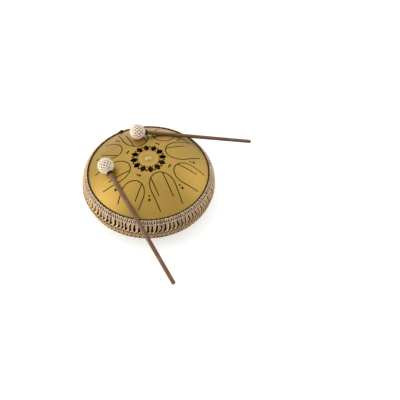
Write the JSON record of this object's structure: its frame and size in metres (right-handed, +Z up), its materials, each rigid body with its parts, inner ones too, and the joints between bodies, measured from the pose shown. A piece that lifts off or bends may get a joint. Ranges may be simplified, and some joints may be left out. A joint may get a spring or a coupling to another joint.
{
  "type": "steel tongue drum",
  "caption": "Gold steel tongue drum with a slit dome, a pierced flower, a cord-laced rim and rubber feet, with its two ball mallets laid to rest on it.",
  "frame": {"origin": "centre of the lower shell's flat base disc, on its underside", "axes": "+Z up through the middle of the dome; -Y towards the player and the camera; +X to the player's right"},
  "size_m": [0.4147, 0.4321, 0.1581],
  "materials": {
    "gold_lacquered_steel": "brushed gold lacquer, satin",
    "black_felt": "matt felt",
    "natural_cord": "knotted natural cord",
    "dark_cord": "dark twisted cord",
    "black_rubber": "matt black",
    "zinc_plated_steel": "zinc plated",
    "dark_stained_wood": "dark stain, satin lacquer",
    "core_rubber": "matt",
    "crocheted_cotton": "crocheted cream cotton"
  },
  "bodies": {
    "drum": {"top_shell": "gold_lacquered_steel", "bottom_shell": "gold_lacquered_steel", "rim_liner": "black_felt", "rope_braid_upper": "natural_cord", "rope_lacing": "natural_cord", "rope_braid_lower": "natural_cord", "edge_cord_upper": "dark_cord", "edge_cord_lower": "dark_cord", "edge_cord_knot": "dark_cord", "foot_1": "black_rubber", "foot_2": "black_rubber", "foot_3": "black_rubber", "foot_4": "black_rubber", "foot_screw_1": "zinc_plated_steel", "foot_screw_2": "zinc_plated_steel", "foot_screw_3": "zinc_plated_steel", "foot_screw_4": "zinc_plated_steel", "foot_nut_1": "zinc_plated_steel", "foot_nut_2": "zinc_plated_steel", "foot_nut_3": "zinc_plated_steel", "foot_nut_4": "zinc_plated_steel"},
    "mallet_1": {"mallet_1_stick": "dark_stained_wood", "mallet_1_core": "core_rubber", "mallet_1_cover": "crocheted_cotton", "mallet_1_binding": "dark_cord"},
    "mallet_2": {"mallet_2_stick": "dark_stained_wood", "mallet_2_core": "core_rubber", "mallet_2_cover": "crocheted_cotton", "mallet_2_binding": "dark_cord"}
  },
  "joints": [
    {"name": "mallet_1_lift", "type": "slide", "parent": "drum", "child": "mallet_1", "axis": [0, 0, 1], "range_m": [0, 0.15]},
    {"name": "mallet_2_lift", "type": "slide", "parent": "drum", "child": "mallet_2", "axis": [0, 0, 1], "range_m": [0, 0.15]}
  ]
}
